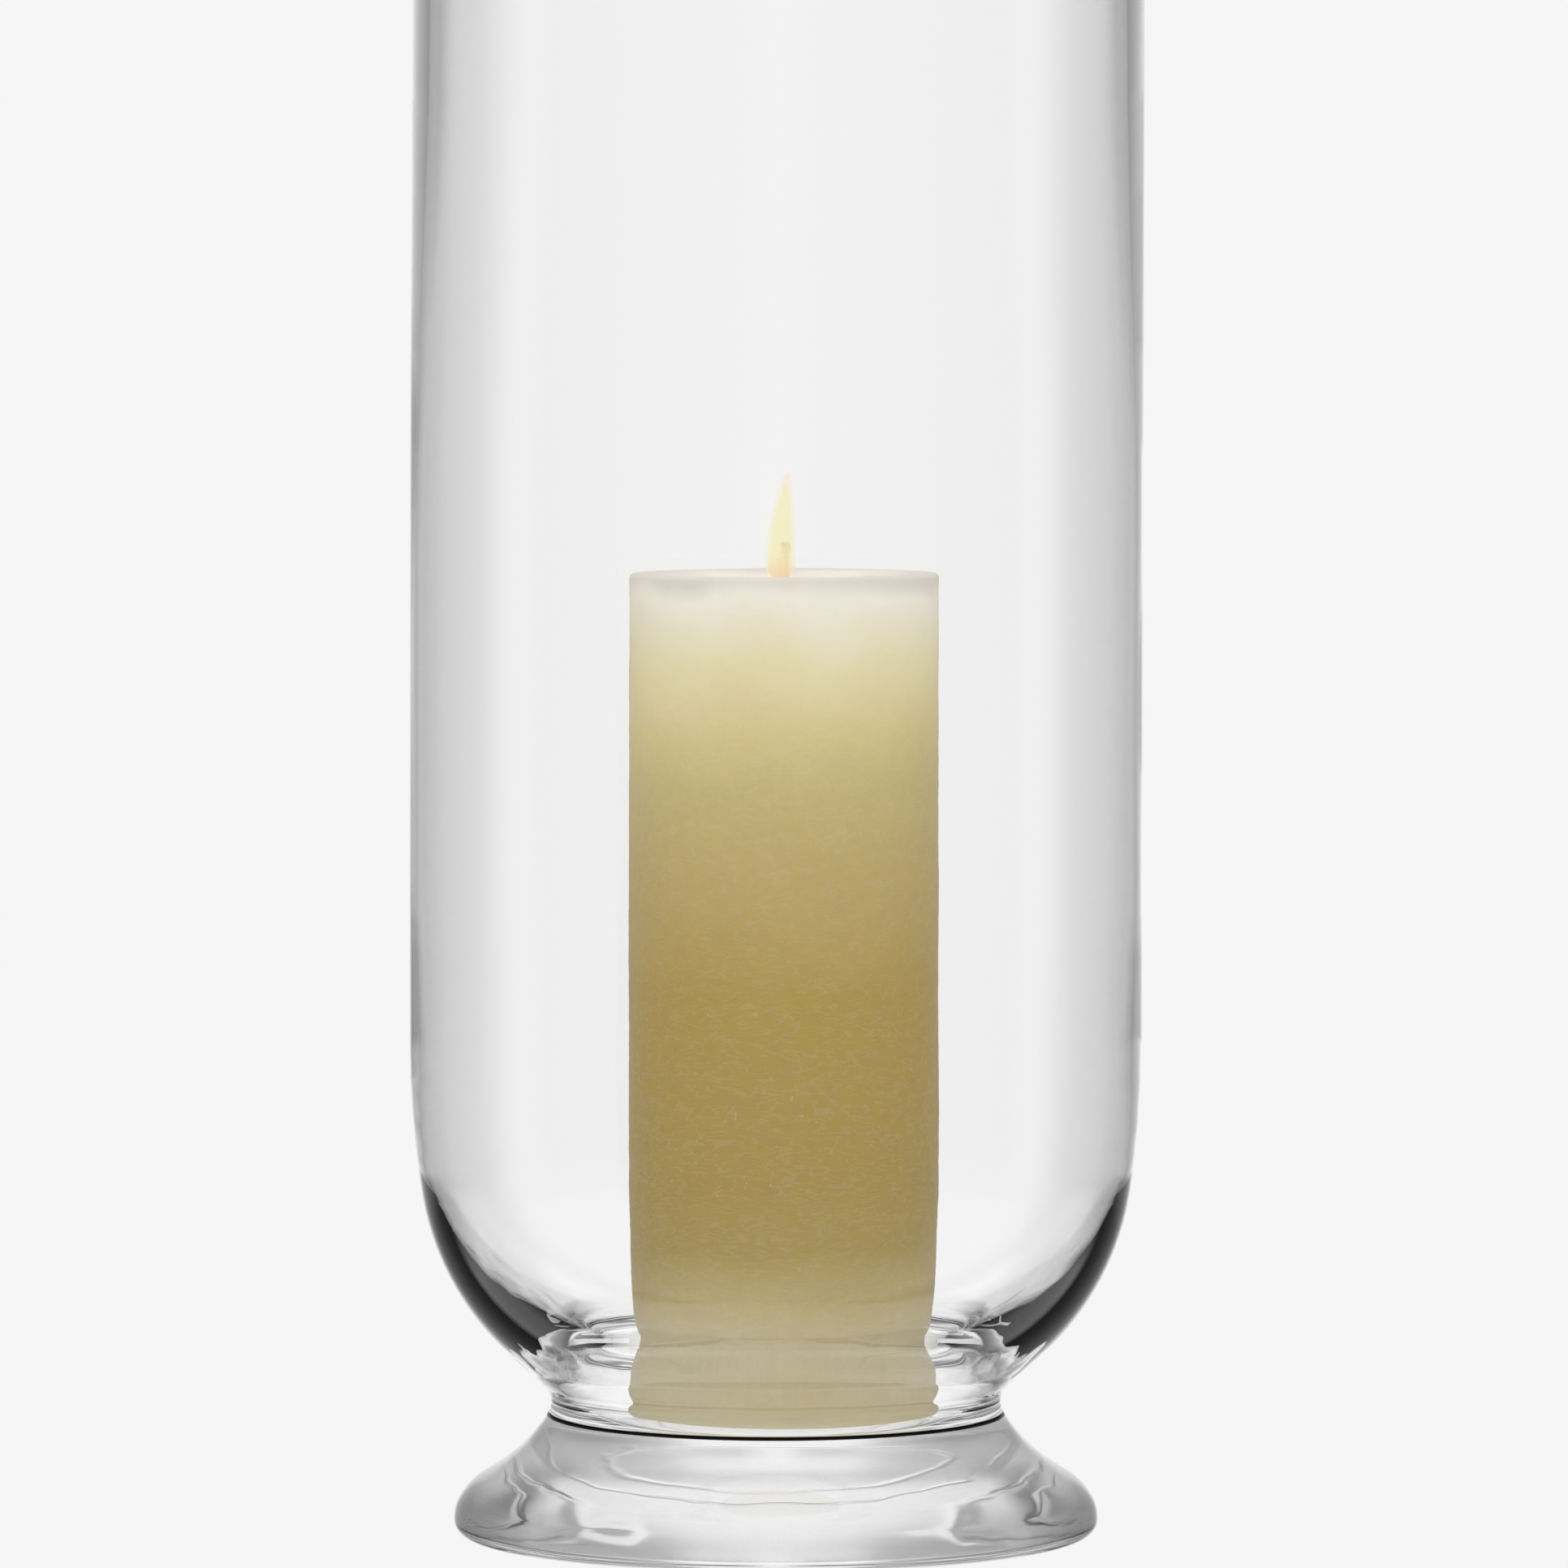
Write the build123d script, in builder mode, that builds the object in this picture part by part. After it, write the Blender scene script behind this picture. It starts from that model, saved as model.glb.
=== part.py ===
"""Footed hurricane candle lantern: a blown glass vessel on a solid glass foot, with a pillar candle.

The origin is the centre of the foot's resting face, +Z is up, and lengths are in millimetres.
Each glass outline is a run of (radius, height) corners with one fillet radius for each corner.
"""

import os

from build123d import *

# The glass as a whole
LANTERN_HEIGHT = 450.0
RIM_OUTER_RADIUS = 93.7
RIM_THICKNESS = 4.5
LIP_FILLET = 2.1
WALL_OUTER_RADIUS = 94.2
FOOT_RADIUS = 83.0

# The dished seam where the vessel and the foot are fused
JOINT_RADIUS = 58.7
JOINT_HEIGHT = 31.0
JOINT_DISH_DEPTH = 14.0

# Inside of the vessel, from the well in the neck up to the rim
FLOOR_HEIGHT = 27.5
WELL_CORNER = (50.4, FLOOR_HEIGHT)
WELL_LIP_CORNER = (55.5, 44.6)
INNER_BOWL_CORNER = (88.1, 73.9)
HEAVY_WALL_CORNER = (91.2, 105.0)
THIN_WALL_START_CORNER = (92.5, 160.0)
THIN_WALL_END_CORNER = (92.4, 280.0)
THICK_WALL_CORNER = (RIM_OUTER_RADIUS - RIM_THICKNESS + 0.1, 370.0)
INNER_FILLETS = [5.0, 12.9, 59.0, 200.0, 600.0, 1500.0, 1500.0]

# Outside of the vessel, from the wall down to the neck
SHOULDER_CORNER = (WALL_OUTER_RADIUS, 107.7)
BOWL_CORNER = (87.3, 63.9)
NECK_CORNER = (56.95, 35.8)
OUTER_FILLETS = [248.0, 70.5, 7.1]

# The foot, from the seam down to its resting ring, and the hollow ground into its underside
FLARE_CORNER = (64.55, 22.0)
FOOT_TOP_CORNER = (79.5, 12.75)
FOOT_SIDE_CORNER = (FOOT_RADIUS, 6.9)
FOOT_FILLETS = [46.0, 16.5, 9.8, 3.8]
RESTING_RING_INNER_RADIUS = 69.0
UNDERSIDE_HOLLOW = 2.5

# The candle, which stands loose on the floor and a little off the glass's axis
CANDLE_RADIUS = 40.0
CANDLE_HEIGHT = 220.0
CANDLE_OFFSET = 2.0
CANDLE_TOP_FILLET = 1.2
CANDLE_BASE_FILLET = 2.0

# The wick, and the steel tab crimped round it in the candle's base
WICK_RADIUS = 1.4
WICK_PROUD = 8.0
TAB_RADIUS = 17.0
TAB_THICKNESS = 0.4
TAB_RECESS = 0.6
COLLAR_WALL = 0.5
COLLAR_HEIGHT = 6.0

JOINT_EDGE = (JOINT_RADIUS, JOINT_HEIGHT)
JOINT_CENTRE = (0, JOINT_HEIGHT - JOINT_DISH_DEPTH)
CANDLE_PLANE = Plane(origin=(CANDLE_OFFSET, 0, FLOOR_HEIGHT))
TAB_PLANE = CANDLE_PLANE.offset(TAB_RECESS)

os.makedirs("parts", exist_ok=True)

# The vessel: an open cylinder with a fire-polished lip, a heavy bowl and a well for the candle
with BuildPart() as glass_cylinder:
    with BuildSketch(Plane.XZ):
        with BuildLine():
            FilletPolyline(
                (0, FLOOR_HEIGHT),
                WELL_CORNER,
                WELL_LIP_CORNER,
                INNER_BOWL_CORNER,
                HEAVY_WALL_CORNER,
                THIN_WALL_START_CORNER,
                THIN_WALL_END_CORNER,
                THICK_WALL_CORNER,
                (RIM_OUTER_RADIUS - RIM_THICKNESS, LANTERN_HEIGHT),
                (RIM_OUTER_RADIUS, LANTERN_HEIGHT),
                SHOULDER_CORNER,
                BOWL_CORNER,
                NECK_CORNER,
                JOINT_EDGE,
                radius=INNER_FILLETS + [LIP_FILLET, LIP_FILLET] + OUTER_FILLETS,
            )
            TangentArc(JOINT_CENTRE, JOINT_EDGE, tangent=(1, 0))
            Line(JOINT_CENTRE, (0, FLOOR_HEIGHT))
        make_face()
    revolve(axis=Axis.Z)
glass_cylinder.part.label = "glass_cylinder"

# The foot: a solid flared gather fused under the vessel, which rests on a flat ground ring
with BuildPart() as glass_foot:
    with BuildSketch(Plane.XZ):
        with BuildLine():
            FilletPolyline(
                JOINT_EDGE,
                FLARE_CORNER,
                FOOT_TOP_CORNER,
                FOOT_SIDE_CORNER,
                (FOOT_RADIUS, 0),
                (RESTING_RING_INNER_RADIUS, 0),
                radius=FOOT_FILLETS,
            )
            TangentArc((0, UNDERSIDE_HOLLOW), (RESTING_RING_INNER_RADIUS, 0), tangent=(1, 0))
            Line((0, UNDERSIDE_HOLLOW), JOINT_CENTRE)
            TangentArc(JOINT_CENTRE, JOINT_EDGE, tangent=(1, 0))
        make_face()
    revolve(axis=Axis.Z)
glass_foot.part.label = "glass_foot"

# The candle's wax: a pillar bored for the wick, with a pocket in its base for the tab and its collar
with BuildPart() as candle_wax:
    with BuildSketch(CANDLE_PLANE):
        Circle(CANDLE_RADIUS)
    extrude(amount=CANDLE_HEIGHT)
    fillet(candle_wax.edges().group_by(Axis.Z)[-1], CANDLE_TOP_FILLET)
    fillet(candle_wax.edges().group_by(Axis.Z)[0], CANDLE_BASE_FILLET)
    with BuildSketch(CANDLE_PLANE):
        Circle(TAB_RADIUS)
    extrude(amount=TAB_RECESS + TAB_THICKNESS, mode=Mode.SUBTRACT)
    with BuildSketch(TAB_PLANE):
        Circle(WICK_RADIUS + COLLAR_WALL)
    extrude(amount=TAB_THICKNESS + COLLAR_HEIGHT, mode=Mode.SUBTRACT)
    with BuildSketch(CANDLE_PLANE):
        Circle(WICK_RADIUS)
    extrude(amount=CANDLE_HEIGHT, mode=Mode.SUBTRACT)
candle_wax.part.label = "candle_wax"

# The wick: a round braid from the tab up through the wax, with a short trimmed end above it
with BuildPart() as wick:
    with BuildSketch(TAB_PLANE):
        Circle(WICK_RADIUS)
    extrude(amount=CANDLE_HEIGHT - TAB_RECESS + WICK_PROUD)
wick.part.label = "wick"

# The tab: a thin disc drawn up into a collar that grips the wick
with BuildPart() as wick_sustainer:
    with BuildSketch(TAB_PLANE):
        Circle(TAB_RADIUS)
        Circle(WICK_RADIUS, mode=Mode.SUBTRACT)
    extrude(amount=TAB_THICKNESS)
    with BuildSketch(TAB_PLANE):
        Circle(WICK_RADIUS + COLLAR_WALL)
        Circle(WICK_RADIUS, mode=Mode.SUBTRACT)
    extrude(amount=TAB_THICKNESS + COLLAR_HEIGHT)
wick_sustainer.part.label = "wick_sustainer"

export_step(glass_cylinder.part, "parts/glass_cylinder.step")
export_step(glass_foot.part, "parts/glass_foot.step")
export_step(candle_wax.part, "parts/candle_wax.step")
export_step(wick.part, "parts/wick.step")
export_step(wick_sustainer.part, "parts/wick_sustainer.step")
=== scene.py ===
"""Looks of the footed hurricane lantern: blown vessel, solid glass foot, pillar candle and its flame.

Outlines are (radius, height, fillet radius) corners in millimetres, as the design gives them; Blender's
own lengths are metres. Each outline is turned about the upright axis and then made slightly uneven, as
hand-blown glass and poured wax are.
"""
import math

import bmesh
import bpy
from mathutils import Matrix, Vector, noise


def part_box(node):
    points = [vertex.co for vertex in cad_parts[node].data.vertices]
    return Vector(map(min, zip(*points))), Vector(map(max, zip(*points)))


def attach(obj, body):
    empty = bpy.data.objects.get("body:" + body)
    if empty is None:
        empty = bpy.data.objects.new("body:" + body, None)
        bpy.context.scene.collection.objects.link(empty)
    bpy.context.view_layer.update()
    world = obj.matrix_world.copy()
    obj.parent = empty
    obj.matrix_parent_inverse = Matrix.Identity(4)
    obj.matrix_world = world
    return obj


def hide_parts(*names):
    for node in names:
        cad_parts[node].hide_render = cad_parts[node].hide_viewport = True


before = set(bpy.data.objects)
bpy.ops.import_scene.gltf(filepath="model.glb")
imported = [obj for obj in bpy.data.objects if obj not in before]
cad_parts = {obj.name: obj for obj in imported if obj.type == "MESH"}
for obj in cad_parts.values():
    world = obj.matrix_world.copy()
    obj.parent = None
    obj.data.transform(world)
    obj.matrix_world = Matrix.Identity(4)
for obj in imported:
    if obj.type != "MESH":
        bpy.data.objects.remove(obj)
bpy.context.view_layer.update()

MM = 0.001
FULL_TURN = 2.0 * math.pi

# The glass, as the design has it but for the crease cut in round the joint
GLASS_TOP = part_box("glass_cylinder")[1].z / MM
FLOOR_HEIGHT = 27.5
JOINT_RADIUS = 57.2
JOINT_HEIGHT = 31.0
JOINT_DISH_DEPTH = 14.0
RING_INNER_RADIUS = 69.0
UNDERSIDE_HOLLOW = 2.5
VESSEL_INSIDE = [
    (0.0, FLOOR_HEIGHT, 0.0),
    (50.4, FLOOR_HEIGHT, 5.0),
    (55.5, 44.6, 12.9),
    (88.1, 73.9, 59.0),
    (91.2, 105.0, 200.0),
    (92.5, 160.0, 600.0),
    (92.4, 280.0, 1500.0),
    (89.3, 370.0, 1500.0),
    (89.2, GLASS_TOP, 2.1),
]
VESSEL_OUTSIDE = [
    (93.7, GLASS_TOP, 2.1),
    (94.2, 107.7, 248.0),
    (87.3, 63.9, 70.5),
    (56.95, 35.8, 6.0),
    (58.6, 31.5, 0.35),
    (JOINT_RADIUS, JOINT_HEIGHT, 0.0),
]
FOOT_OUTSIDE = [
    (JOINT_RADIUS, JOINT_HEIGHT, 0.0),
    (58.95, 30.6, 0.35),
    (64.55, 22.0, 43.5),
    (79.5, 12.75, 16.5),
    (83.0, 6.9, 9.8),
    (83.0, 0.0, 3.8),
    (RING_INNER_RADIUS, 0.0, 0.0),
]

# How far above and below the joint the crease band of painted shade reaches: a dull dark material
# standing in for the dark line that the light draws round the neck
CREASE_SHADE_REACH = 0.45

# Material slots of the glasses. The vessel has the first three, and the foot all four.
POLISHED, SEAM, CREASE_SHADE, SATIN = range(4)

GLASS_IOR = 1.5
GLASS_BOUNCES = 8
FLAME_BOUNCES = 24
SATIN_ROUGHNESS = 0.22

# Rings in the ground underside, painted reflection lines that darken its colour and also bump it: radius
# plus the wander there, half width, and depth as a share
PAINTED_RINGS_AND_BUMPS = [(38.0, 1.1, 0.16), (50.0, 0.7, 0.12), (62.0, 1.2, 0.18), (68.0, 0.6, 0.10)]
MOST_WANDER = 12.0

# How finely the outlines are cut, and into how many sides the glass is turned
ARC_STEP = math.radians(3.0)
OUTLINE_STEP = 2.0
GLASS_SIDES = 384

# Unevenness of blown glass. The lean grows smoothly from its start to beyond the mouth.
LEAN = 1.6
LEAN_START = 120.0
LEAN_END = 1.6 * GLASS_TOP
WALL_RIPPLE = 0.10
BOWL_RIPPLE = 0.30
FOOT_RIPPLE = 0.10

# Heights between which the ripples start, and between which the bowl's ends
WALL_RIPPLE_STARTS = (60.0, 110.0)
BOWL_RIPPLE_STARTS = (43.0, 50.0)
BOWL_RIPPLE_ENDS = (62.0, 80.0)

# The pillar candle. Its wax keeps inside the design's pillar by the inset.
CANDLE_OFFSET = Vector((2.0, 0.0, 0.0))
CANDLE_GAP = 0.15
WAX_INSET = 0.25
CANDLE_SIDES = 320
CANDLE_STEP = 0.9
POOL_RADIUS = 25.0
POOL_DEPTH = 2.2
TAB_RECESS_RADIUS = 17.2
TAB_RECESS_DEPTH = 0.6
FLAME_HEIGHT = 28.0
FLAME_RADIUS = 3.85
FLAME_SINK = 1.8
FLAME_SET_BACK = 0.8
FLAME_BEND = 1.9

# The studio's brightness: seen directly, from overhead, and round about. Round about, each pair is the
# share of the way from behind the lantern to behind the camera, and the brightness there.
BACKDROP = 0.9216
OVERHEAD = 1.15
WALLS = [
    (0.0, 0.92), (0.055, 0.92), (0.083, 0.47), (0.12, 0.26), (0.18, 0.12), (0.26, 0.03), (0.40, 0.03),
    (0.47, 0.60), (0.50, 0.72), (0.54, 0.55), (0.69, 0.55), (0.80, 0.63), (1.0, 0.72),
]
LEVEL_LIGHT = [(0.055, 0.0), (0.10, 0.14), (0.15, 0.19), (0.21, 0.17), (0.28, 0.08), (0.34, 0.0)]
TABLE_LIGHT = [(0.215, 0.0), (0.238, 0.86), (0.31, 0.86), (0.38, 0.0)]

# Where each of those lights starts and is full, as the height of a direction of length 1
LEVEL_SPAN = (-0.20, -0.11)
TABLE_SPAN = (-0.24, -0.40)
OVERHEAD_SPAN = (0.18, 0.50)

# The floor, in metres. It lies a hair below the foot.
FLOOR_RADIUS = 3.0
FLOOR_DROP = 0.0003

# The camera, in metres, and its sensor and lens in millimetres
CAMERA_PLACE = Vector((0.0021, -2.5, 0.323))
CAMERA_AIM = Vector((0.0021, 0.0, 0.1932))
SENSOR_WIDTH = 36.0
LENS = 223.6


def fillet_path(corners):
    """Points along an outline of (radius, height, fillet) corners, the fillets cut into short chords."""
    points = [Vector(corners[0][:2])]
    for before, corner, after in zip(corners, corners[1:], corners[2:]):
        here = Vector(corner[:2])
        back = (Vector(before[:2]) - here).normalized()
        on = (Vector(after[:2]) - here).normalized()
        angle = back.angle(on)
        if corner[2] == 0.0:
            points.append(here)
            continue
        centre = here + (back + on).normalized() * corner[2] / math.sin(angle / 2)
        start = here + back * corner[2] / math.tan(angle / 2)
        turn = math.pi - angle
        side = -1.0 if back.cross(on) > 0 else 1.0
        steps = max(2, math.ceil(turn / ARC_STEP))
        for step in range(steps + 1):
            spoke = start - centre
            spoke.rotate(Matrix.Rotation(side * turn * step / steps, 2))
            points.append(centre + spoke)
    points.append(Vector(corners[-1][:2]))
    return points


def divided(points, longest):
    """The same outline with no chord longer than that."""
    result = [points[0]]
    for point in points[1:]:
        chord = point - result[-1]
        if chord.length < 1e-6:
            continue
        start = result[-1]
        pieces = math.ceil(chord.length / longest)
        result += [start + chord * (n + 1) / pieces for n in range(pieces)]
    return result


def cap_arc(radius, height, rise, steps=24):
    """Points of a shallow domed disc from its edge, at height, to its middle, rise above it."""
    sphere = (radius * radius + rise * rise) / (2 * abs(rise))
    half = math.asin(radius / sphere)
    lift = math.copysign(1.0, rise)
    return [
        Vector((
            sphere * math.sin(half * (1 - n / steps)),
            height + lift * (sphere * math.cos(half * (1 - n / steps)) - sphere + abs(rise)),
        ))
        for n in range(steps + 1)
    ]


def spin(name, outline, sides, uneven, material_at=None):
    """A closed solid: the outline of (radius, height) points turned about the upright axis.

    uneven moves a point to where the real, not quite true, surface is. material_at gives the material
    slot of the faces that the outline's chord of that index makes.
    """
    mesh = bpy.data.meshes.new(name)
    solid = bmesh.new()
    rings = []
    for index, (radius, height) in enumerate(outline):
        count = 1 if radius < 1e-4 else sides
        ring = []
        for n in range(count):
            turn = FULL_TURN * n / sides
            point = Vector((radius * math.cos(turn), radius * math.sin(turn), height))
            ring.append(solid.verts.new(uneven(point, index) * MM))
        rings.append(ring)
    for index, (ring, above) in enumerate(zip(rings, rings[1:])):
        if len(ring) == len(above) == 1:
            continue
        for n in range(sides):
            corners = []
            for vert in (
                ring[n % len(ring)],
                ring[(n + 1) % len(ring)],
                above[(n + 1) % len(above)],
                above[n % len(above)],
            ):
                if vert not in corners:
                    corners.append(vert)
            face = solid.faces.new(corners)
            face.smooth = True
            if material_at:
                face.material_index = material_at(index)
    bmesh.ops.remove_doubles(solid, verts=solid.verts, dist=1e-7)
    bmesh.ops.recalc_face_normals(solid, faces=solid.faces)
    solid.to_mesh(mesh)
    solid.free()
    piece = bpy.data.objects.new(name, mesh)
    bpy.context.scene.collection.objects.link(piece)
    return piece


# ---------------------------------------------------------------- materials


def new_material(name):
    """A new material, with its Principled shader, its nodes and its links."""
    material = bpy.data.materials.new(name)
    material.use_nodes = True
    tree = material.node_tree
    return material, tree.nodes["Principled BSDF"], tree.nodes, tree.links


def maths(nodes, links, operation, *values):
    """A Math node's output. Each value is a number or another node's output."""
    node = nodes.new("ShaderNodeMath")
    node.operation = operation
    for socket, value in zip(node.inputs, values):
        if isinstance(value, (int, float)):
            socket.default_value = value
        else:
            links.new(value, socket)
    return node.outputs[0]


def ramp(nodes, links, factor, stops):
    """A colour ramp's output, from (position, colour) stops."""
    node = nodes.new("ShaderNodeValToRGB")
    elements = node.color_ramp.elements
    while len(elements) < len(stops):
        elements.new(0.5)
    for element, (position, colour) in zip(elements, stops):
        element.position = position
        element.color = (*colour, 1.0)
    links.new(factor, node.inputs[0])
    return node.outputs[0]


def texture(nodes, links, kind, vector, scale, **settings):
    """A texture node of that kind at that scale, with its other inputs by name."""
    node = nodes.new(kind)
    links.new(vector, node.inputs["Vector"])
    node.inputs["Scale"].default_value = scale
    for name, value in settings.items():
        node.inputs[name.replace("_", " ")].default_value = value
    return node


def clear_glass(name, roughness=0.0):
    """Colourless glass, polished unless it is given a roughness."""
    material, shader, *_ = new_material(name)
    shader.inputs["Base Color"].default_value = (1.0, 1.0, 1.0, 1.0)
    shader.inputs["Transmission Weight"].default_value = 1.0
    shader.inputs["Roughness"].default_value = roughness
    shader.inputs["IOR"].default_value = GLASS_IOR
    return material


def ground_glass_painted_rings():
    """The foot's underside: ground to a satin, with faint uneven rings of painted reflection that darken
    its colour and bump its surface.
    """
    material = clear_glass("ground_glass_painted_rings", SATIN_ROUGHNESS)
    nodes, links = material.node_tree.nodes, material.node_tree.links
    place = nodes.new("ShaderNodeTexCoord").outputs["Object"]
    split = nodes.new("ShaderNodeSeparateXYZ")
    links.new(place, split.inputs[0])
    squares = [maths(nodes, links, "POWER", split.outputs[axis], 2.0) for axis in ("X", "Y")]
    radius = maths(nodes, links, "SQRT", maths(nodes, links, "ADD", *squares))
    wander = texture(nodes, links, "ShaderNodeTexNoise", place, 38.0, Detail=2.0, Roughness=0.5)
    bent = maths(nodes, links, "MULTIPLY_ADD", wander.outputs["Fac"], MOST_WANDER * MM, radius)
    tone = 1.0
    for at, width, depth in PAINTED_RINGS_AND_BUMPS:
        away = maths(nodes, links, "DIVIDE", maths(nodes, links, "SUBTRACT", bent, at * MM), width * MM)
        fall = maths(nodes, links, "MULTIPLY", maths(nodes, links, "POWER", away, 2.0), -1.0)
        line = maths(nodes, links, "EXPONENT", fall)
        tone = maths(nodes, links, "MULTIPLY_ADD", line, -depth, tone)
    # the rings darken the glass's colour: painted reflection lines
    grey = nodes.new("ShaderNodeCombineXYZ")
    for socket in grey.inputs:
        links.new(tone, socket)
    links.new(grey.outputs[0], nodes["Principled BSDF"].inputs["Base Color"])
    bump = nodes.new("ShaderNodeBump")
    bump.inputs["Strength"].default_value = 0.8
    bump.inputs["Distance"].default_value = 0.0016
    links.new(tone, bump.inputs["Height"])
    links.new(bump.outputs[0], nodes["Principled BSDF"].inputs["Normal"])
    return material


def fused_seam():
    """Where the vessel and the foot are fused, light passes as if nothing were there."""
    material, shader, nodes, links = new_material("fused_seam")
    nodes.remove(shader)
    clear = nodes.new("ShaderNodeBsdfTransparent")
    links.new(clear.outputs[0], nodes["Material Output"].inputs["Surface"])
    return material


def painted_crease_shade():
    """Painted shade round the neck: a dull, near-black material on the crease where the fused edges meet,
    standing in for the dark line that the light draws there.
    """
    material, shader, *_ = new_material("crease_painted_shade")
    # painted shade: near-black and dull, so the crease band reads as a dark line
    shader.inputs["Base Color"].default_value = (0.03, 0.03, 0.03, 1.0)
    shader.inputs["Roughness"].default_value = 0.45
    return material


def frosted_wax(bottom, top):
    """Rustic wax: golden in its body, with a crinkled, dry skin; paler at the top with painted light of
    the flame shining through, paler low down with painted light from the floor, and a painted glow in
    both places.
    """
    material, shader, nodes, links = new_material("frosted_wax")
    place = nodes.new("ShaderNodeTexCoord").outputs["Object"]
    split = nodes.new("ShaderNodeSeparateXYZ")
    links.new(place, split.inputs[0])
    cloud = texture(nodes, links, "ShaderNodeTexNoise", place, 22.0, Detail=3.0)
    height = nodes.new("ShaderNodeMapRange")
    links.new(split.outputs["Z"], height.inputs["Value"])
    height.inputs["From Min"].default_value = bottom * MM
    height.inputs["From Max"].default_value = top * MM
    drift = maths(nodes, links, "MULTIPLY_ADD", cloud.outputs["Fac"], 0.10, -0.05)
    level = maths(nodes, links, "ADD", height.outputs["Result"], drift)
    # the wax's own golden colour in the middle; the pale top is painted light of the flame through the
    # wax, and the paler bottom is painted light from the floor
    body = ramp(nodes, links, level, [
        (0.00, (0.96, 0.86, 0.50)),
        (0.12, (0.84, 0.65, 0.22)),
        (0.20, (0.71, 0.49, 0.08)),
        (0.30, (0.67, 0.44, 0.040)),
        (0.51, (0.75, 0.49, 0.035)),
        (0.67, (0.82, 0.61, 0.155)),
        (0.82, (0.88, 0.72, 0.30)),
        (0.91, (0.92, 0.84, 0.47)),
        (0.98, (0.97, 0.95, 0.85)),
        (1.00, (0.81, 0.78, 0.72)),
    ])
    mottle = texture(nodes, links, "ShaderNodeTexNoise", place, 260.0, Detail=5.0, Roughness=0.65)
    stretch = nodes.new("ShaderNodeMapping")
    stretch.inputs["Scale"].default_value = (1.0, 1.0, 3.2)
    links.new(place, stretch.inputs["Vector"])
    stretched = stretch.outputs[0]
    crinkle = texture(nodes, links, "ShaderNodeTexNoise", stretched, 170.0, Detail=2.0, Distortion=0.5)
    off_middle = maths(nodes, links, "SUBTRACT", crinkle.outputs["Fac"], 0.5)
    level_line = maths(nodes, links, "ABSOLUTE", off_middle)
    ridge = nodes.new("ShaderNodeMapRange")
    ridge.interpolation_type = "SMOOTHSTEP"
    links.new(level_line, ridge.inputs["Value"])
    ridge.inputs["From Min"].default_value = 0.055
    ridge.inputs["From Max"].default_value = 0.0
    speck = texture(nodes, links, "ShaderNodeTexNoise", place, 620.0, Detail=1.0)
    fleck = nodes.new("ShaderNodeMapRange")
    links.new(speck.outputs["Fac"], fleck.inputs["Value"])
    fleck.inputs["From Min"].default_value = 0.74
    fleck.inputs["From Max"].default_value = 0.80
    tone = maths(nodes, links, "MULTIPLY_ADD", mottle.outputs["Fac"], 0.16, 0.91)
    veins = maths(nodes, links, "MULTIPLY", ridge.outputs["Result"], 0.14)
    marks = maths(nodes, links, "MULTIPLY_ADD", fleck.outputs["Result"], 0.30, veins)
    # inputs 6 and 7 are the mix's two colours, and output 2 is its colour
    skin = nodes.new("ShaderNodeMix")
    skin.data_type = "RGBA"
    links.new(marks, skin.inputs["Factor"])
    links.new(body, skin.inputs[6])
    skin.inputs[7].default_value = (0.95, 0.88, 0.66, 1.0)
    coloured = nodes.new("ShaderNodeVectorMath")
    coloured.operation = "SCALE"
    links.new(skin.outputs[2], coloured.inputs[0])
    links.new(tone, coloured.inputs["Scale"])
    links.new(coloured.outputs[0], shader.inputs["Base Color"])
    # painted glow: emission standing in for the flame's light in the wax near the top and the floor's
    # light near the bottom
    painted_glow = ramp(nodes, links, level, [
        (0.02, (0.15, 0.135, 0.10)),
        (0.14, (0.06, 0.05, 0.035)),
        (0.20, (0.0, 0.0, 0.0)),
        (0.52, (0.0, 0.0, 0.0)),
        (0.67, (0.06, 0.04, 0.02)),
        (0.75, (0.10, 0.08, 0.03)),
        (0.82, (0.20, 0.16, 0.07)),
        (0.90, (0.29, 0.25, 0.15)),
        (0.98, (0.37, 0.34, 0.28)),
        (1.00, (0.29, 0.26, 0.22)),
    ])
    links.new(painted_glow, shader.inputs["Emission Color"])
    shader.inputs["Emission Strength"].default_value = 1.0
    shader.inputs["Roughness"].default_value = 0.62
    shader.inputs["Sheen Weight"].default_value = 0.5
    shader.inputs["Sheen Roughness"].default_value = 0.45
    shader.inputs["Sheen Tint"].default_value = (1.0, 0.93, 0.80, 1.0)
    bump = nodes.new("ShaderNodeBump")
    bump.inputs["Strength"].default_value = 0.35
    bump.inputs["Distance"].default_value = 0.0004
    links.new(maths(nodes, links, "ADD", mottle.outputs["Fac"], veins), bump.inputs["Height"])
    links.new(bump.outputs[0], shader.inputs["Normal"])
    return material


def cotton():
    """Waxed cotton yarn, browned towards the lit end."""
    material, shader, nodes, links = new_material("waxed_cotton")
    place = nodes.new("ShaderNodeTexCoord").outputs["Generated"]
    split = nodes.new("ShaderNodeSeparateXYZ")
    links.new(place, split.inputs[0])
    colour = ramp(nodes, links, split.outputs["Z"], [
        (0.95, (0.78, 0.70, 0.54)),
        (0.98, (0.82, 0.55, 0.30)),
        (1.00, (0.50, 0.27, 0.13)),
    ])
    fibres = texture(nodes, links, "ShaderNodeTexNoise", place, 90.0, Detail=4.0)
    tinted = nodes.new("ShaderNodeVectorMath")
    tinted.operation = "SCALE"
    links.new(colour, tinted.inputs[0])
    depth = maths(nodes, links, "MULTIPLY_ADD", fibres.outputs["Fac"], 0.3, 0.85)
    links.new(depth, tinted.inputs["Scale"])
    links.new(tinted.outputs[0], shader.inputs["Base Color"])
    shader.inputs["Roughness"].default_value = 0.8
    return material


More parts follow.
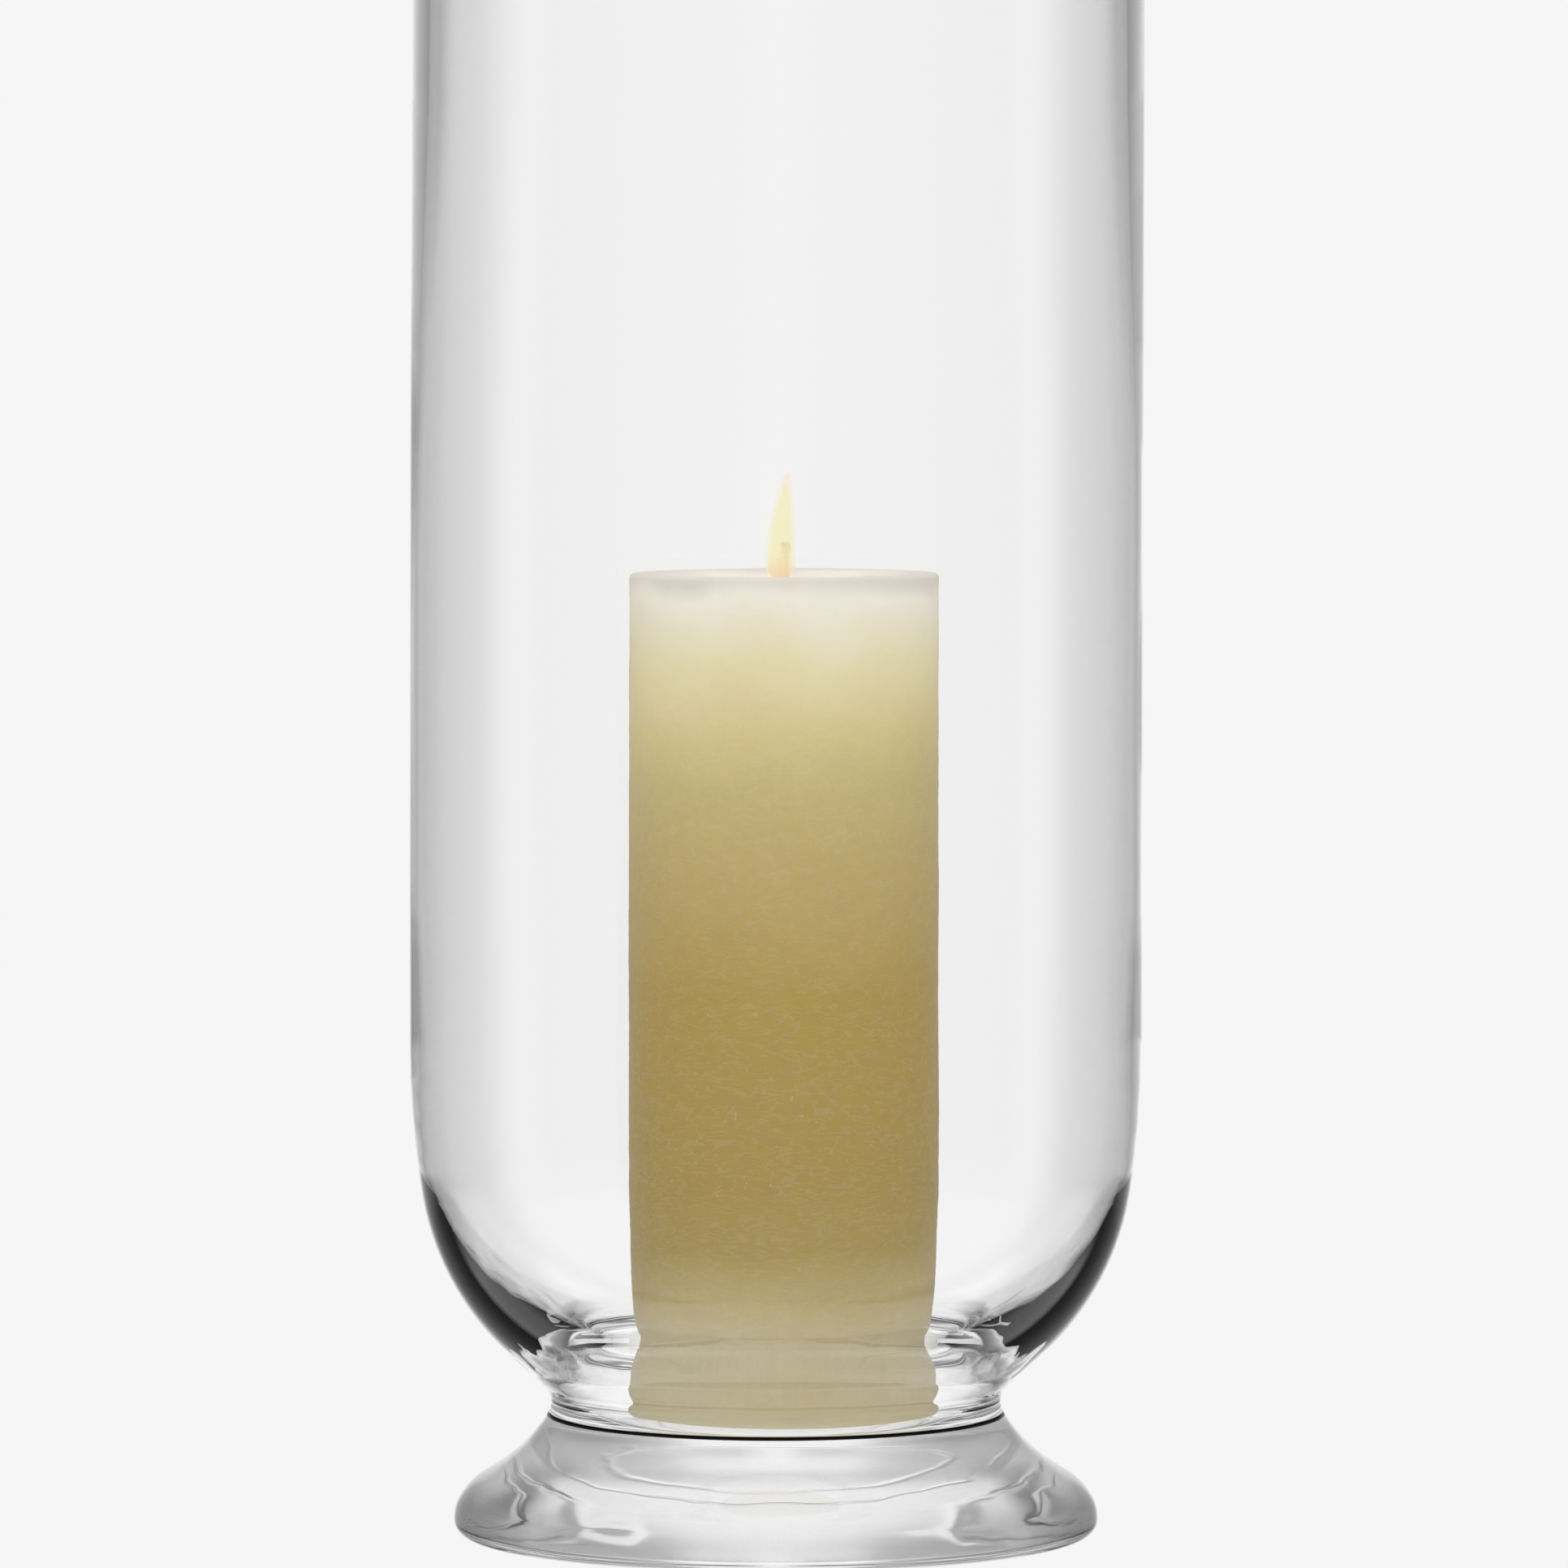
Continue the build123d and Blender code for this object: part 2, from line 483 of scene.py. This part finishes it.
def tinned_steel():
    """Thin tinned sheet with faint rolling marks."""
    material, shader, nodes, links = new_material("tinned_sheet")
    place = nodes.new("ShaderNodeTexCoord").outputs["Object"]
    stretch = nodes.new("ShaderNodeMapping")
    stretch.inputs["Scale"].default_value = (1.0, 14.0, 1.0)
    links.new(place, stretch.inputs["Vector"])
    marks = texture(nodes, links, "ShaderNodeTexNoise", stretch.outputs[0], 160.0, Detail=3.0)
    tint = ramp(nodes, links, marks.outputs["Fac"], [
        (0.30, (0.55, 0.55, 0.54)),
        (0.70, (0.74, 0.73, 0.71)),
    ])
    links.new(tint, shader.inputs["Base Color"])
    shader.inputs["Metallic"].default_value = 1.0
    dullness = maths(nodes, links, "MULTIPLY_ADD", marks.outputs["Fac"], 0.25, 0.22)
    links.new(dullness, shader.inputs["Roughness"])
    return material


def glowing_gas(name, bottom, top, stops, opacity):
    """A flame's body: light of a colour that changes with height, partly see-through."""
    material, shader, nodes, links = new_material(name)
    nodes.remove(shader)
    split = nodes.new("ShaderNodeSeparateXYZ")
    links.new(nodes.new("ShaderNodeTexCoord").outputs["Object"], split.inputs[0])
    height = nodes.new("ShaderNodeMapRange")
    links.new(split.outputs["Z"], height.inputs["Value"])
    height.inputs["From Min"].default_value = bottom * MM
    height.inputs["From Max"].default_value = top * MM
    light = nodes.new("ShaderNodeEmission")
    links.new(ramp(nodes, links, height.outputs["Result"], stops), light.inputs["Color"])
    clear = nodes.new("ShaderNodeBsdfTransparent")
    mix = nodes.new("ShaderNodeMixShader")
    mix.inputs[0].default_value = opacity
    links.new(clear.outputs[0], mix.inputs[1])
    links.new(light.outputs[0], mix.inputs[2])
    links.new(mix.outputs[0], nodes["Material Output"].inputs["Surface"])
    return material


# ---------------------------------------------------------------- glass


def ripple(point, seed, waves, step):
    """Smooth unevenness between -1 and 1, with that many waves across 90 mm and a step of that height."""
    across = Vector((point.x, point.y, 0.0)) / 90.0
    place = Vector((across.x * waves, across.y * waves, point.z / step))
    return noise.noise(place + Vector((seed,) * 3))


def fade(value, low, high):
    """0 below low, 1 above high and smooth between."""
    share = min(1.0, max(0.0, (value - low) / (high - low)))
    return share * share * (3.0 - 2.0 * share)


def outwards(point, distance):
    """The point moved that far from the upright axis."""
    flat = Vector((point.x, point.y, 0.0))
    return point + flat.normalized() * distance if flat.length > 1e-6 else point


def make_vessel(glass, seam, crease):
    """The blown cylinder with its heavy bowl, closed below by the dished seam."""
    outline = divided(fillet_path(VESSEL_INSIDE + VESSEL_OUTSIDE), OUTLINE_STEP)
    top = max(range(len(outline)), key=lambda n: outline[n].y)
    seam_arc = cap_arc(JOINT_RADIUS, JOINT_HEIGHT, -JOINT_DISH_DEPTH)

    def uneven(point, index):
        wall = fade(point.z, *WALL_RIPPLE_STARTS)
        amount = WALL_RIPPLE * wall * ripple(point, 3.0 if index < top else 7.0, 1.6, 70.0)
        if index < top:
            band = fade(point.z, *BOWL_RIPPLE_STARTS) * (1.0 - fade(point.z, *BOWL_RIPPLE_ENDS))
            # the bowl ripples at its sides, and hardly in front and behind
            sideways = abs(point.x) / max(1.0, math.hypot(point.x, point.y))
            share = 0.04 + 0.96 * sideways ** 6
            swell = ripple(point, 11.0, 8.0, 8.0) + 0.5 * ripple(point, 13.0, 17.0, 4.0)
            amount += BOWL_RIPPLE * band * share * swell
        moved = outwards(point, amount)
        moved.x += LEAN * fade(point.z, LEAN_START, LEAN_END)
        return moved

    def material_at(index):
        if index >= len(outline) - 1:
            return SEAM
        return CREASE_SHADE if index > top and outline[index].y < JOINT_HEIGHT + CREASE_SHADE_REACH else POLISHED

    piece = spin("blown_vessel", outline + seam_arc[1:], GLASS_SIDES, uneven, material_at)
    for material in (glass, seam, crease):
        piece.data.materials.append(material)
    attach(piece, "lantern_glass")
    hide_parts("glass_cylinder")


def make_foot(glass, seam, crease, satin):
    """The solid flared foot, hollowed a little underneath and ground there to a satin."""
    side = divided(fillet_path(FOOT_OUTSIDE), OUTLINE_STEP)
    under = cap_arc(RING_INNER_RADIUS, 0.0, UNDERSIDE_HOLLOW)
    seam_arc = cap_arc(JOINT_RADIUS, JOINT_HEIGHT, -JOINT_DISH_DEPTH)[::-1]
    outline = side + under[1:] + seam_arc
    resting = min(index for index, point in enumerate(side) if point.y < 0.01)
    seam_start = len(side) + len(under) - 2

    def material_at(index):
        if side[min(index + 1, resting)].y > JOINT_HEIGHT - CREASE_SHADE_REACH:
            return CREASE_SHADE
        return SEAM if index >= seam_start else SATIN if index >= resting else POLISHED

    def uneven(point, index):
        if index < len(side) or index >= len(side) + len(under) - 1:
            return point
        radius = math.hypot(point.x, point.y)
        amount = FOOT_RIPPLE * (1.0 - fade(radius, 55.0, 68.0)) * ripple(point, 19.0, 3.0, 40.0)
        return point + Vector((0.0, 0.0, amount))

    piece = spin("flared_foot", outline, GLASS_SIDES, uneven, material_at)
    for material in (glass, seam, crease, satin):
        piece.data.materials.append(material)
    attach(piece, "lantern_glass")
    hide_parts("glass_foot")


# ---------------------------------------------------------------- candle


def make_wax():
    """The pillar of wax: a little uneven all round, with a shallow melt pool and a recess for the tab."""
    low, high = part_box("candle_wax")
    bottom, top = low.z / MM + CANDLE_GAP, high.z / MM
    radius = (high.x - low.x) / 2 / MM
    outline = divided(fillet_path([
        (0.0, bottom + TAB_RECESS_DEPTH, 0.0),
        (TAB_RECESS_RADIUS, bottom + TAB_RECESS_DEPTH, 0.0),
        (TAB_RECESS_RADIUS, bottom, 0.0),
        (radius, bottom, 2.0),
        (radius, top, 1.2),
        (POOL_RADIUS + 8.0, top, 12.0),
        (POOL_RADIUS, top - POOL_DEPTH, 14.0),
        (0.0, top - POOL_DEPTH, 0.0),
    ]), CANDLE_STEP)

    def uneven(point, index):
        side = fade(math.hypot(point.x, point.y), radius - 6.0, radius - 1.0)
        swell = 0.16 * ripple(point, 23.0, 3.0, 26.0) + 0.09 * ripple(point, 29.0, 16.0, 5.0)
        swell += 0.08 * ripple(point, 31.0, 60.0, 1.6)
        moved = outwards(point, side * (swell - WAX_INSET))
        melted = (1.0 - side) * fade(point.z, top - 3.0, top)
        moved.z += melted * 0.12 * (ripple(point, 37.0, 14.0, 9.0) - 1.0)
        return moved + CANDLE_OFFSET

    piece = spin("wax_pillar", outline, CANDLE_SIDES, uneven)
    piece.data.materials.append(frosted_wax(bottom, top))
    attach(piece, "candle")
    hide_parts("candle_wax")


def tube(solid, path, radius, sides=8):
    """Adds a closed tube along a path of points to a bmesh."""
    rings = []
    for n, point in enumerate(path):
        along = (path[min(n + 1, len(path) - 1)] - path[max(n - 1, 0)]).normalized()
        across = along.cross(Vector((0.0, 1.0, 0.0))).normalized()
        other = along.cross(across)
        rings.append([
            solid.verts.new((point + radius * (across * math.cos(FULL_TURN * k / sides)
                                               + other * math.sin(FULL_TURN * k / sides))) * MM)
            for k in range(sides)
        ])
    for ring, following in zip(rings, rings[1:]):
        for k in range(sides):
            solid.faces.new((ring[k], ring[(k + 1) % sides], following[(k + 1) % sides], following[k]))
    solid.faces.new(rings[0][::-1])
    solid.faces.new(rings[-1])


def make_wick():
    """The wick: three waxed cotton strands in a flat plait, bent slightly at its lit end."""
    low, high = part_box("wick")
    bottom, top = low.z / MM, high.z / MM
    width = (high.x - low.x) / 2 / MM
    centre = (low + high) / 2 / MM
    strand = 0.42 * width
    pitch = 7.0
    step = 0.6
    bend = 0.6
    bent_length = 7.0
    solid = bmesh.new()
    for number in range(3):
        path = []
        steps = round((top - bottom) / step)
        for n in range(steps + 1):
            height = bottom + (top - bottom) * n / steps
            turn = FULL_TURN * (height / pitch + number / 3)
            bent = bend * fade(height, top - bent_length, top)
            path.append(Vector((
                centre.x + (width - strand) * math.sin(turn) + bent,
                centre.y + 0.5 * (width - strand) * math.sin(2 * turn),
                height,
            )))
        tube(solid, path, strand)
    mesh = bpy.data.meshes.new("plaited_wick")
    for face in solid.faces:
        face.smooth = True
    bmesh.ops.recalc_face_normals(solid, faces=solid.faces)
    solid.to_mesh(mesh)
    solid.free()
    mesh.materials.append(cotton())
    piece = bpy.data.objects.new("plaited_wick", mesh)
    bpy.context.scene.collection.objects.link(piece)
    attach(piece, "candle")
    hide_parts("wick")


def make_sustainer():
    """The wick's tab: a thin ribbed disc with a collar crimped round the wick."""
    low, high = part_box("wick_sustainer")
    bottom, top = low.z / MM, high.z / MM
    radius = (high.x - low.x) / 2 / MM
    centre = Vector(((low.x + high.x) / 2 / MM, (low.y + high.y) / 2 / MM, 0.0))
    sheet = 0.4
    edge = 0.15
    bore = 1.45
    collar = 1.9
    outline = divided(fillet_path([
        (bore, bottom, 0.0),
        (radius, bottom, edge),
        (radius, bottom + sheet, edge),
        (collar, bottom + sheet, 0.5),
        (collar, top, edge),
        (bore, top, edge),
        (bore, bottom, 0.0),
    ]), 0.8)

    def uneven(point, index):
        out = math.hypot(point.x, point.y)
        turn = math.atan2(point.y, point.x)
        rib = fade(out, 4.0, 6.0) * (1.0 - fade(out, radius - 4.0, radius - 2.0))
        lift = 0.07 * rib * (1.0 + math.cos(12.0 * turn))
        crimp = -0.22 * (1.0 - fade(out, 2.2, 3.0)) * fade(point.z, bottom + 2.0, bottom + 3.5)
        crimp *= 0.5 * (1.0 + math.cos(4.0 * turn))
        moved = outwards(point, crimp)
        moved.z += lift
        return moved + centre

    piece = spin("wick_tab", outline, 96, uneven)
    piece.data.materials.append(tinned_steel())
    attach(piece, "candle")
    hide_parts("wick_sustainer")


def flame_outline(bottom, height, radius):
    """A teardrop: widest low down and drawn out to a tip."""
    steps = 40
    points = []
    for n in range(steps + 1):
        share = n / steps
        wide = (1.0 - share ** 2.2) ** 0.7 * (0.3 + 0.7 * math.sqrt(min(1.0, share / 0.10)))
        points.append(Vector((0.0 if n in (0, steps) else radius * wide, bottom + height * share)))
    return points


def make_flame():
    """The flame: a pale outer sheath, a yellow core and a peach heart where the wick glows."""
    low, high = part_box("wick")
    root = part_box("candle_wax")[1].z / MM - FLAME_SINK
    centre = (low + high) / 2 / MM
    layers = [
        ("flame_sheath", 1.0, 1.0, 0.40, [
            (0.00, (0.95, 0.72, 0.45)),
            (0.20, (0.93, 0.86, 0.62)),
            (0.80, (0.93, 0.88, 0.68)),
            (1.00, (0.95, 0.80, 0.62)),
        ]),
        ("flame_core", 0.90, 0.78, 0.62, [
            (0.00, (0.93, 0.62, 0.32)),
            (0.25, (0.92, 0.86, 0.45)),
            (0.85, (0.91, 0.87, 0.46)),
            (1.00, (0.93, 0.80, 0.52)),
        ]),
        ("flame_heart", 0.34, 0.38, 0.75, [
            (0.00, (0.93, 0.58, 0.34)),
            (0.70, (0.92, 0.70, 0.42)),
            (1.00, (0.92, 0.82, 0.50)),
        ]),
    ]

    def lean(point, index):
        up = (point.z - root) / FLAME_HEIGHT
        return point + Vector((centre.x - FLAME_SET_BACK + FLAME_BEND * up * up, centre.y, 0.0))

    for name, tall, wide, opacity, stops in layers:
        height = FLAME_HEIGHT * tall
        outline = flame_outline(root, height, FLAME_RADIUS * wide)
        piece = spin(name, outline, 48, lean)
        piece.data.materials.append(glowing_gas(name, root, root + height, stops, opacity))
        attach(piece, "candle")


# ---------------------------------------------------------------- studio


def make_studio():
    """A plain pale floor, and a studio that is white behind and in front, and darker to the sides."""
    mesh = bpy.data.meshes.new("studio_floor")
    disc = bmesh.new()
    bmesh.ops.create_circle(disc, cap_ends=True, segments=128, radius=FLOOR_RADIUS)
    disc.to_mesh(mesh)
    disc.free()
    material, shader, nodes, links = new_material("pale_floor")
    nodes.remove(shader)
    light = nodes.new("ShaderNodeEmission")
    light.inputs["Color"].default_value = (BACKDROP, BACKDROP, BACKDROP, 1.0)
    links.new(light.outputs[0], nodes["Material Output"].inputs["Surface"])
    mesh.materials.append(material)
    floor = bpy.data.objects.new("studio_floor", mesh)
    floor.location.z = -FLOOR_DROP
    bpy.context.scene.collection.objects.link(floor)
    floor.visible_glossy = False
    floor.visible_transmission = False

    world = bpy.data.worlds.new("studio")
    bpy.context.scene.world = world
    world.use_nodes = True
    nodes, links = world.node_tree.nodes, world.node_tree.links
    split = nodes.new("ShaderNodeSeparateXYZ")
    links.new(nodes.new("ShaderNodeTexCoord").outputs["Generated"], split.inputs[0])
    turn = maths(nodes, links, "ARCTAN2", split.outputs["X"], split.outputs["Y"])
    share = maths(nodes, links, "DIVIDE", maths(nodes, links, "ABSOLUTE", turn), math.pi)

    def around(stops):
        return ramp(nodes, links, share, [(at, (value,) * 3) for at, value in stops])

    def between(span):
        rise = nodes.new("ShaderNodeMapRange")
        links.new(split.outputs["Z"], rise.inputs["Value"])
        rise.inputs["From Min"].default_value, rise.inputs["From Max"].default_value = span
        return rise.outputs["Result"]

    light = around(WALLS)
    light = maths(nodes, links, "MULTIPLY_ADD", around(LEVEL_LIGHT), between(LEVEL_SPAN), light)
    light = maths(nodes, links, "MULTIPLY_ADD", around(TABLE_LIGHT), between(TABLE_SPAN), light)
    above = between(OVERHEAD_SPAN)
    light = maths(nodes, links, "MULTIPLY", light, maths(nodes, links, "SUBTRACT", 1.0, above))
    light = maths(nodes, links, "MULTIPLY_ADD", above, OVERHEAD, light)
    seen = nodes.new("ShaderNodeLightPath").outputs["Is Camera Ray"]
    light = maths(nodes, links, "MULTIPLY", light, maths(nodes, links, "SUBTRACT", 1.0, seen))
    light = maths(nodes, links, "MULTIPLY_ADD", seen, BACKDROP, light)
    links.new(light, nodes["Background"].inputs["Color"])


def make_camera():
    """A long lens a little above the table's height, looking slightly down at the glass."""
    data = bpy.data.cameras.new("studio_camera")
    camera = bpy.data.objects.new("studio_camera", data)
    bpy.context.scene.collection.objects.link(camera)
    data.sensor_width = SENSOR_WIDTH
    data.lens = LENS
    camera.location = CAMERA_PLACE
    camera.rotation_euler = (CAMERA_AIM - CAMERA_PLACE).to_track_quat("-Z", "Y").to_euler()
    bpy.context.scene.camera = camera


make_camera()
make_studio()
seam_material = fused_seam()
# painted shade for the crease band round the neck
crease_shade_material = painted_crease_shade()
make_vessel(clear_glass("vessel_glass"), seam_material, crease_shade_material)
make_foot(clear_glass("foot_glass"), seam_material, crease_shade_material, ground_glass_painted_rings())
make_wax()
make_wick()
make_sustainer()
make_flame()

settings = bpy.context.scene.cycles
settings.max_bounces = GLASS_BOUNCES
settings.transmission_bounces = GLASS_BOUNCES
settings.glossy_bounces = GLASS_BOUNCES
settings.transparent_max_bounces = FLAME_BOUNCES
bpy.context.scene.view_settings.view_transform = "Standard"
